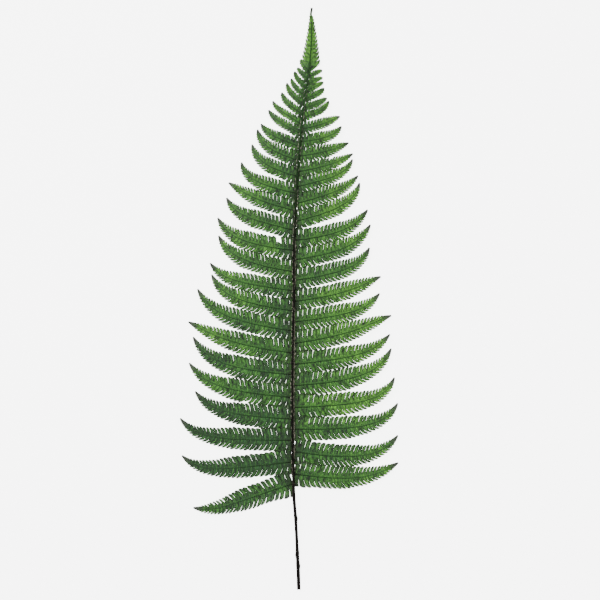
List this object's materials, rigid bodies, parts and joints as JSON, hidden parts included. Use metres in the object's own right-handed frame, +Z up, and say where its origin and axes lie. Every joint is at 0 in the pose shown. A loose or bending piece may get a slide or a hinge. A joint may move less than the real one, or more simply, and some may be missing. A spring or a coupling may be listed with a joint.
{
  "type": "dried fern frond",
  "caption": "Whole cut fern frond lying flat: a thin dark stem with rows of lobed, curved leaflets that shorten to a fine tip.",
  "frame": {"origin": "middle of the frond's length and width, on the surface it lies on", "axes": "+Y from the cut end of the stem to the tip, +X to the right seen from above, +Z up from the surface"},
  "size_m": [0.219, 0.5829, 0.0142],
  "materials": {
    "stem": "dull dark brown stalk with pale flecks",
    "leaf": "matt green leaf, dry and thin"
  },
  "bodies": {
    "root": {"stem": "stem", "blade": "leaf"}
  },
  "joints": []
}
